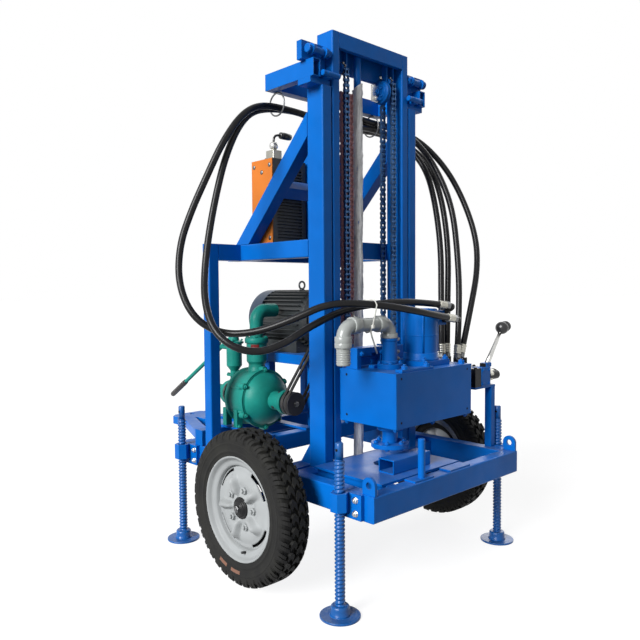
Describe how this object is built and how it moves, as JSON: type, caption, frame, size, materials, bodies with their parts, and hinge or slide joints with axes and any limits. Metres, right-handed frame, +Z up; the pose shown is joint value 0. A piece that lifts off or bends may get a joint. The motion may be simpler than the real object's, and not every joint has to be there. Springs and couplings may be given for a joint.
{
  "type": "water well drilling rig",
  "caption": "Trailer-mounted water well drilling rig: telescopic chain-lifted mast, hydraulic drill head, electric motor, mud pump, screw jacks and drawbar.",
  "frame": {"origin": "on the floor under the middle of the rig's length, midway between its sides", "axes": "+Z up, +Y towards the drawbar, +X to the side of the control valve"},
  "size_m": [1.2576, 1.7, 1.94],
  "materials": {
    "rig_paint": "gloss enamel",
    "orange_paint": "satin",
    "pump_paint": "gloss enamel",
    "motor_paint": "satin",
    "cowl_paint": "satin",
    "cast_metal": "machined",
    "belt_rubber": "matt",
    "cooler_black": "black satin",
    "valve_black": "satin black",
    "foam_grey": "foam wrap",
    "chain_steel": "oiled",
    "bare_steel": "zinc plated",
    "grey_plastic": "satin",
    "tyre": "matt",
    "rim_silver": "satin silver",
    "hose_rubber": "satin"
  },
  "bodies": {
    "frame": {"chassis_side_beams": "rig_paint", "chassis_cross_beams": "rig_paint", "lifting_ears": "rig_paint", "rod_table": "rig_paint", "stop_pin": "rig_paint", "mast_columns": "rig_paint", "mast_guides": "rig_paint", "hose_hanger": "rig_paint", "hanging_rings": "bare_steel", "rear_posts": "rig_paint", "upper_beams": "rig_paint", "mast_braces": "rig_paint", "drawbar": "rig_paint", "drawbar_arms": "rig_paint", "axle": "rig_paint", "jack_brackets": "rig_paint", "electric_motor": "motor_paint", "motor_cowl": "cowl_paint", "motor_stand": "rig_paint", "drive_pulleys": "cast_metal", "drive_belts": "belt_rubber", "pump": "pump_paint", "pump_base": "rig_paint", "pump_outlet": "pump_paint", "suction_pipe": "pump_paint", "priming_pump": "pump_paint", "oil_cooler": "cooler_black", "cooler_plate": "orange_paint", "oil_tank": "rig_paint", "valve_post": "rig_paint", "control_valve": "valve_black", "lift_cylinder": "foam_grey", "chain_returns": "chain_steel", "hose_ferrules": "bare_steel", "hose_drive_outer": "hose_rubber", "hose_drive_inner": "hose_rubber", "hose_valve_outer": "hose_rubber", "hose_valve_inner": "hose_rubber", "hose_tank_outer": "hose_rubber", "hose_tank_inner": "hose_rubber"},
    "head": {"head_box": "rig_paint", "head_carriage": "rig_paint", "drive_motor": "rig_paint", "motor_ports": "bare_steel", "swivel_pipe": "rig_paint", "water_pipe": "grey_plastic"},
    "inner_mast": {"inner_columns": "rig_paint", "mast_crown": "rig_paint", "lift_chains": "chain_steel"},
    "spindle": {"drill_spindle": "rig_paint"},
    "wheel_left": {"tyre_left": "tyre", "wheel_left": "rim_silver"},
    "wheel_right": {"tyre_right": "tyre", "wheel_right": "rim_silver"},
    "jack_front_left": {"jack_screw_front_left": "rig_paint"},
    "jack_front_right": {"jack_screw_front_right": "rig_paint"},
    "jack_rear_left": {"jack_screw_rear_left": "rig_paint"},
    "jack_rear_right": {"jack_screw_rear_right": "rig_paint"}
  },
  "joints": [
    {"name": "head_lift", "type": "slide", "parent": "frame", "child": "head", "axis": [0, 0, 1], "range_m": [0, 1.2], "deforming": ["hose_drive_outer", "hose_drive_inner", "lift_chains"]},
    {"name": "mast_lift", "type": "slide", "parent": "frame", "child": "inner_mast", "axis": [0, 0, 1], "range_m": [0, 0.6], "deforming": ["chain_returns"]},
    {"name": "spindle_turn", "type": "hinge", "parent": "head", "child": "spindle", "pos_m": [-0.107, -0.65, 0.5], "axis": [0, 0, 1], "continuous": true},
    {"name": "wheel_left_spin", "type": "hinge", "parent": "frame", "child": "wheel_left", "pos_m": [-0.531, -0.376, 0.283], "axis": [1, 0, 0], "continuous": true},
    {"name": "wheel_right_spin", "type": "hinge", "parent": "frame", "child": "wheel_right", "pos_m": [0.531, -0.376, 0.283], "axis": [1, 0, 0], "continuous": true},
    {"name": "jack_front_left_screw", "type": "slide", "parent": "frame", "child": "jack_front_left", "axis": [0, 0, 1], "range_m": [-0.1, 0.25]},
    {"name": "jack_front_right_screw", "type": "slide", "parent": "frame", "child": "jack_front_right", "axis": [0, 0, 1], "range_m": [-0.1, 0.09]},
    {"name": "jack_rear_left_screw", "type": "slide", "parent": "frame", "child": "jack_rear_left", "axis": [0, 0, 1], "range_m": [-0.1, 0.25]},
    {"name": "jack_rear_right_screw", "type": "slide", "parent": "frame", "child": "jack_rear_right", "axis": [0, 0, 1], "range_m": [-0.1, 0.25]}
  ],
  "couplings": [
    {"joint": "mast_lift", "follows": "head_lift", "ratio": 0.5}
  ]
}
